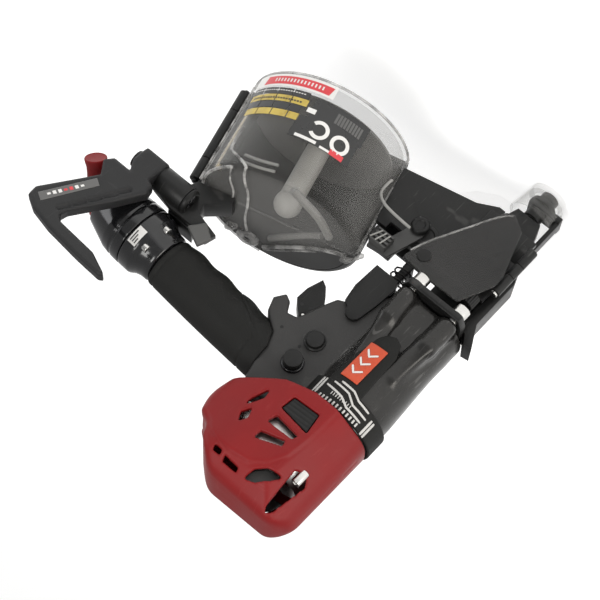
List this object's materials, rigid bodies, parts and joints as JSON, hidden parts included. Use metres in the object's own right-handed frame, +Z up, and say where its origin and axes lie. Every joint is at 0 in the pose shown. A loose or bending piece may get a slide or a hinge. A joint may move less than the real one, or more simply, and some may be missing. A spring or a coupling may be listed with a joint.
{
  "type": "coil roofing nailer",
  "caption": "Pneumatic coil nailer with a round magazine, feed door, contact arm, trigger, gripped handle, exhaust cover and belt hook.",
  "frame": {"origin": "bottom centre of the bounding box, with the face of the contact tip at height zero", "axes": "+Z up the driving axis from the contact tip to the exhaust cover, +X to the front of the tool, away from the handle, +Y to the user's left"},
  "size_m": [0.263, 0.112, 0.29],
  "materials": {
    "coated_alloy": "satin dark grey coating on a die casting",
    "bright_alloy": "machined",
    "red_shell": "satin moulded",
    "black_rubber": "fine grain",
    "black_plastic": "moulded",
    "gloss_black": "glossy",
    "grey_plastic": "moulded",
    "steel": "zinc plated",
    "dark_steel": "black oxide",
    "clear_plastic": "clear",
    "smoked_plastic": "smoked clear",
    "white_nylon": "translucent",
    "badge_red": "painted"
  },
  "bodies": {
    "tool_body": {"main_housing": "coated_alloy", "cylinder_head": "bright_alloy", "cylinder_sleeve": "bright_alloy", "exhaust_cover": "red_shell", "swivel_ring": "red_shell", "grip_sleeve": "black_rubber", "barrel_band": "black_rubber", "piston_bumper": "black_rubber", "exhaust_grille": "black_plastic", "silencer_block": "bright_alloy", "side_badge": "badge_red", "head_valve_spring": "steel", "nose_body": "dark_steel", "front_guard": "black_plastic", "contact_arm_spring": "steel", "contact_arm_guide": "black_plastic", "trigger_pin": "black_plastic", "trigger_spring": "steel", "feeder_body": "dark_steel", "feed_cylinder": "bright_alloy", "feed_spring": "steel", "door_hinge_pin": "steel", "magazine_base": "black_plastic", "cover_hinge_pin": "steel", "coil_post": "white_nylon", "magazine_bracket": "dark_steel", "handle_end_cap": "gloss_black", "hook_bracket": "dark_steel", "hook_bolt": "steel", "nose_bolt_rear_left": "steel", "nose_bolt_rear_right": "steel", "nose_bolt_front_left": "steel", "nose_bolt_front_right": "steel", "head_screw_1": "steel", "head_screw_2": "steel", "head_screw_3": "steel", "head_screw_4": "steel"},
    "drive_piston_body": {"drive_piston": "bright_alloy", "driver_blade": "steel"},
    "head_valve_body": {"head_valve": "black_plastic"},
    "trigger_body": {"trigger": "black_plastic", "trigger_lever_pin": "steel"},
    "trigger_lever_body": {"trigger_lever": "dark_steel"},
    "valve_stem_body": {"trigger_valve_stem": "steel"},
    "contact_arm_body": {"contact_arm": "dark_steel", "contact_tip": "dark_steel", "tip_skirt": "clear_plastic"},
    "depth_dial_body": {"depth_dial": "black_plastic"},
    "feed_piston_body": {"feed_piston": "steel"},
    "feed_pawl_body": {"feed_pawl": "dark_steel"},
    "feed_door_body": {"feed_door": "dark_steel", "door_shield": "smoked_plastic", "latch_bolt": "steel"},
    "door_latch_body": {"door_latch": "grey_plastic"},
    "magazine_cover_body": {"magazine_cover": "clear_plastic"},
    "nail_tray_body": {"nail_tray": "white_nylon"},
    "hook_arm_body": {"hook_arm": "grey_plastic"},
    "air_plug_body": {"air_plug": "dark_steel"},
    "dust_cap_body": {"dust_cap": "red_shell"},
    "duster_button_body": {"duster_button": "black_plastic"}
  },
  "joints": [
    {"name": "piston_stroke", "type": "slide", "parent": "tool_body", "child": "drive_piston_body", "axis": [0, 0, -1], "range_m": [0, 0.054]},
    {"name": "head_valve_lift", "type": "slide", "parent": "tool_body", "child": "head_valve_body", "axis": [0, 0, 1], "range_m": [0, 0.005], "stiffness_N_per_m": 600, "springref_m": -0.01, "deforming": ["head_valve_spring"]},
    {"name": "trigger_pull", "type": "hinge", "parent": "tool_body", "child": "trigger_body", "pos_m": [0.05848, 0, 0.183], "axis": [0, 1, 0], "range_deg": [0, 14], "stiffness_Nm_per_rad": 0.12, "springref_deg": -22.92},
    {"name": "trigger_lever_swing", "type": "hinge", "parent": "trigger_body", "child": "trigger_lever_body", "pos_m": [0.03948, 0, 0.1726], "axis": [0, -1, 0], "range_deg": [0, 15.2]},
    {"name": "valve_stem_push", "type": "slide", "parent": "tool_body", "child": "valve_stem_body", "axis": [0, 0, 1], "range_m": [0, 0.0015], "stiffness_N_per_m": 600, "springref_m": -0.003},
    {"name": "contact_arm_slide", "type": "slide", "parent": "tool_body", "child": "contact_arm_body", "axis": [0, 0, 1], "range_m": [0, 0.009], "stiffness_N_per_m": 400, "springref_m": -0.012, "deforming": ["contact_arm_spring"]},
    {"name": "depth_dial_turn", "type": "hinge", "parent": "tool_body", "child": "depth_dial_body", "pos_m": [0.10998, 0.0158, 0.098], "axis": [0, 0, 1], "range_deg": [-150, 150]},
    {"name": "feed_piston_slide", "type": "slide", "parent": "tool_body", "child": "feed_piston_body", "axis": [1, 0, 0], "range_m": [0, 0.0115]},
    {"name": "feed_pawl_swing", "type": "hinge", "parent": "feed_piston_body", "child": "feed_pawl_body", "pos_m": [0.06598, -0.0255, 0.064], "axis": [0, 0, 1], "range_deg": [-7, 0], "stiffness_Nm_per_rad": 0.02, "springref_deg": 17.19},
    {"name": "feed_door_swing", "type": "hinge", "parent": "tool_body", "child": "feed_door_body", "pos_m": [0.11948, 0.0175, 0.065], "axis": [0, 0, -1], "range_deg": [0, 120]},
    {"name": "door_latch_turn", "type": "hinge", "parent": "feed_door_body", "child": "door_latch_body", "pos_m": [0.05498, 0.012, 0.079], "axis": [0, 1, 0], "range_deg": [0, 25], "stiffness_Nm_per_rad": 0.05, "springref_deg": -17.19},
    {"name": "magazine_cover_swing", "type": "hinge", "parent": "tool_body", "child": "magazine_cover_body", "pos_m": [-0.08638, 0, 0.11028], "axis": [0.2639, 0, 0.9646], "range_deg": [0, 110]},
    {"name": "nail_tray_height", "type": "slide", "parent": "tool_body", "child": "nail_tray_body", "axis": [0.2639, 0, 0.9646], "range_m": [0, 0.024]},
    {"name": "hook_swing", "type": "hinge", "parent": "tool_body", "child": "hook_arm_body", "pos_m": [-0.09602, 0.017, 0.1655], "axis": [1, 0, 0], "range_deg": [-95, 0]},
    {"name": "air_plug_swivel", "type": "hinge", "parent": "tool_body", "child": "air_plug_body", "pos_m": [-0.1141, 0, 0.19493], "axis": [-0.9976, 0, -0.0698], "continuous": true},
    {"name": "dust_cap_pull", "type": "slide", "parent": "air_plug_body", "child": "dust_cap_body", "axis": [-0.4303, 0.8093, -0.3998], "range_m": [0, 0.016]},
    {"name": "duster_button_press", "type": "slide", "parent": "tool_body", "child": "duster_button_body", "axis": [0, -1, 0], "range_m": [0, 0.003], "stiffness_N_per_m": 400, "springref_m": -0.003}
  ],
  "couplings": [
    {"joint": "trigger_lever_swing", "follows": "contact_arm_slide", "rad_per_m": 29.1}
  ]
}
